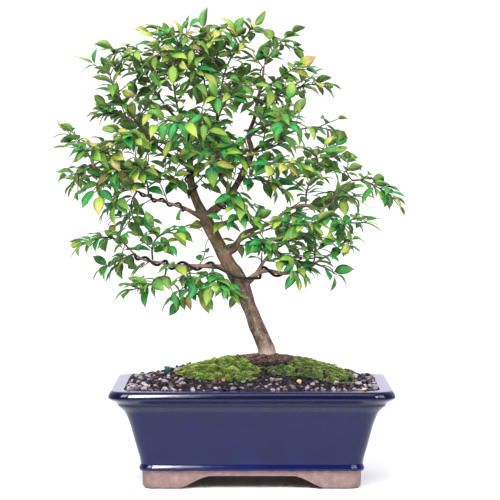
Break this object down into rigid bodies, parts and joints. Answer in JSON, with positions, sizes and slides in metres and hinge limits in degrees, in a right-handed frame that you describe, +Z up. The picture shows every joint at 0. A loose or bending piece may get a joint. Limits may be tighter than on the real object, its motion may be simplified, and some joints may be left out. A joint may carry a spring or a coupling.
{
  "type": "jaboticaba bonsai tree in a glazed rectangular pot",
  "caption": "Informal upright jaboticaba bonsai with wired branches and small glossy leaves, standing in a mounded, mossy, navy glazed rectangular pot on feet.",
  "frame": {"origin": "on the surface that the pot stands on, under the middle of the whole tree's box", "axes": "+X to the right of the front view, +Y away from the viewer, +Z up"},
  "size_m": [0.2587, 0.1769, 0.3505],
  "materials": {
    "glazed_clay": "glossy navy glaze over brown-pink clay that is bare at the feet",
    "grit": "dark dry grit with paler small stones",
    "moss": "soft bright green moss",
    "bark": "smooth grey-brown flaking bark",
    "black_wire": "black anodised annealed wire",
    "leaf": "satin green leaves, the young ones yellow-green",
    "screen_plastic": "black plastic mesh"
  },
  "bodies": {
    "root": {"drain_screen_left": "screen_plastic", "drain_screen_right": "screen_plastic", "moss_behind": "moss", "moss_front_left": "moss", "moss_front_right": "moss", "pot": "glazed_clay", "soil": "grit", "spray_back_left_tip": "leaf", "spray_back_low_tip": "leaf", "spray_back_middle_tip": "leaf", "spray_back_right_tip": "leaf", "spray_centre_droop": "leaf", "spray_centre_low": "leaf", "spray_crown_back": "leaf", "spray_crown_front": "leaf", "spray_crown_right": "leaf", "spray_crown_right_low": "leaf", "spray_crown_right_tip": "leaf", "spray_crown_top": "leaf", "spray_crown_top_left": "leaf", "spray_far_left_back": "leaf", "spray_far_left_droop": "leaf", "spray_far_left_front": "leaf", "spray_far_left_low": "leaf", "spray_far_left_tip": "leaf", "spray_front_left_tip": "leaf", "spray_front_right_tip": "leaf", "spray_high_left_back": "leaf", "spray_high_left_front": "leaf", "spray_high_left_tip": "leaf", "spray_low_left_droop": "leaf", "spray_low_left_inner": "leaf", "spray_low_left_out": "leaf", "spray_low_left_root": "leaf", "spray_low_left_tip": "leaf", "spray_low_left_up": "leaf", "spray_low_right_droop": "leaf", "spray_low_right_fork": "leaf", "spray_low_right_inner": "leaf", "spray_low_right_tip": "leaf", "spray_low_right_under": "leaf", "spray_middle_left_low": "leaf", "spray_middle_left_tip": "leaf", "spray_middle_left_up": "leaf", "spray_middle_right_back": "leaf", "spray_middle_right_front": "leaf", "spray_middle_right_low": "leaf", "spray_middle_right_tip": "leaf", "spray_middle_right_up": "leaf", "spray_right_droop": "leaf", "spray_right_front": "leaf", "spray_right_side_twig": "leaf", "spray_top_far_left": "leaf", "spray_top_left": "leaf", "spray_top_left_inner": "leaf", "training_wire_left": "black_wire", "training_wire_left_leader": "black_wire", "training_wire_low": "black_wire", "training_wire_right_leader": "black_wire", "trunk": "bark"}
  },
  "joints": []
}
